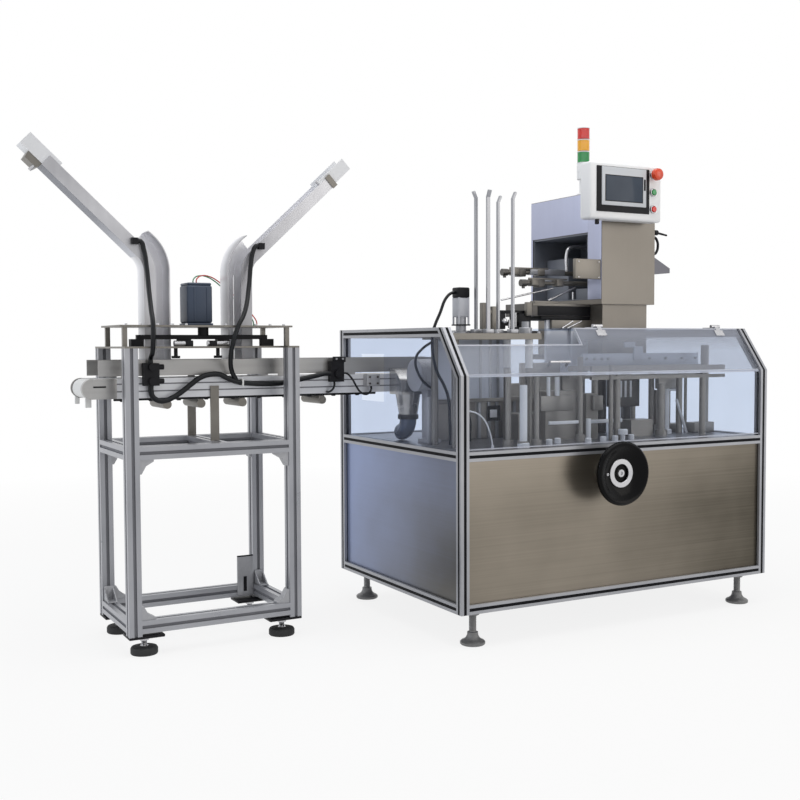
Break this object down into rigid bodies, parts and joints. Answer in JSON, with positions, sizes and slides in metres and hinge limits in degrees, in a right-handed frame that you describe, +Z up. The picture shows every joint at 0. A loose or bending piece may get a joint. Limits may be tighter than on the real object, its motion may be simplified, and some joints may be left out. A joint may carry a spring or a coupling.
{
  "type": "automatic cartoner",
  "caption": "Automatic cartoner: clear-guarded cabinet on levelling feet, carton magazine, pick-up tower, control box and a belt infeed with inclined chutes on a profile stand.",
  "frame": {"origin": "on the floor under the middle of the machine's box", "axes": "+X to the right along the front, +Y towards the back, +Z up"},
  "size_m": [2.4732, 0.935, 1.754],
  "materials": {
    "profile": "satin anodised extrusion",
    "front_steel": "warm brushed stainless sheet",
    "side_steel": "brushed stainless sheet",
    "bright_steel": "machined and polished steel",
    "dark_steel": "dark oxide machined steel",
    "clear_sheet": "clear acrylic sheet",
    "foot_metal": "grey hammered paint",
    "rubber": "dark moulded rubber",
    "gloss_black": "gloss black moulding",
    "black_plastic": "matt black moulding",
    "white_paint": "smooth white powder coat",
    "white_plastic": "smooth white plastic",
    "red_plastic": "gloss red moulding",
    "green_plastic": "gloss green moulding",
    "amber_plastic": "gloss amber lens",
    "motor_paint": "dark blue-grey motor paint",
    "hose": "ribbed bluish hose",
    "belt": "white belt",
    "wire": "thin insulated lead"
  },
  "bodies": {
    "machine": {"cabinet_posts": "profile", "cabinet_rails": "profile", "stand_posts": "profile", "stand_rails": "profile", "stand_gussets": "profile", "conveyor_frame": "profile", "front_panel": "front_steel", "tower_pedestal": "front_steel", "tower_housing": "front_steel", "tower_fittings": "front_steel", "base_plate": "side_steel", "deck_plate": "side_steel", "side_panels": "side_steel", "left_chute": "side_steel", "right_chute": "side_steel", "feeder_plates": "side_steel", "conveyor_guides": "side_steel", "conveyor_supports": "side_steel", "reject_chute": "side_steel", "guard_hinges": "bright_steel", "button_bezels": "bright_steel", "tower_pillars": "bright_steel", "magazine_plate": "bright_steel", "magazine_rods": "bright_steel", "carton_track": "bright_steel", "lift_motor": "bright_steel", "wheel_bearing": "dark_steel", "pickup_arms": "dark_steel", "folding_works": "dark_steel", "works_plates": "dark_steel", "drive_motor": "dark_steel", "left_guard": "clear_sheet", "fixed_guards": "clear_sheet", "machine_feet": "foot_metal", "stand_feet": "rubber", "control_panel": "black_plastic", "escapement": "black_plastic", "junction_blocks": "black_plastic", "cables": "black_plastic", "control_box": "white_paint", "stack_light_base": "white_plastic", "chute_tips": "white_plastic", "red_lamp": "red_plastic", "green_lamp": "green_plastic", "amber_lamp": "amber_plastic", "feeder_motor": "motor_paint", "reject_hose": "hose", "conveyor_belt": "belt", "motor_leads": "wire"},
    "cover": {"front_cover": "clear_sheet", "cover_handle": "bright_steel", "cover_hinges": "bright_steel"},
    "wheel": {"handwheel": "gloss_black"},
    "emergency_button": {"emergency_stop": "red_plastic"},
    "green_button": {"start_button": "green_plastic"},
    "red_button": {"stop_button": "red_plastic"}
  },
  "joints": [
    {"name": "cover_hinge", "type": "hinge", "parent": "machine", "child": "cover", "pos_m": [0.82961, -0.25654, 1.007], "axis": [-1, 0, 0], "range_deg": [0, 80]},
    {"name": "wheel_spin", "type": "hinge", "parent": "machine", "child": "wheel", "pos_m": [0.50861, -0.4545, 0.525], "axis": [0, 1, 0], "continuous": true},
    {"name": "emergency_push", "type": "slide", "parent": "machine", "child": "emergency_button", "axis": [0, 1, 0], "range_m": [0, 0.005], "stiffness_N_per_m": 400},
    {"name": "start_push", "type": "slide", "parent": "machine", "child": "green_button", "axis": [0, 1, 0], "range_m": [0, 0.004], "stiffness_N_per_m": 300},
    {"name": "stop_push", "type": "slide", "parent": "machine", "child": "red_button", "axis": [0, 1, 0], "range_m": [0, 0.004], "stiffness_N_per_m": 300}
  ]
}
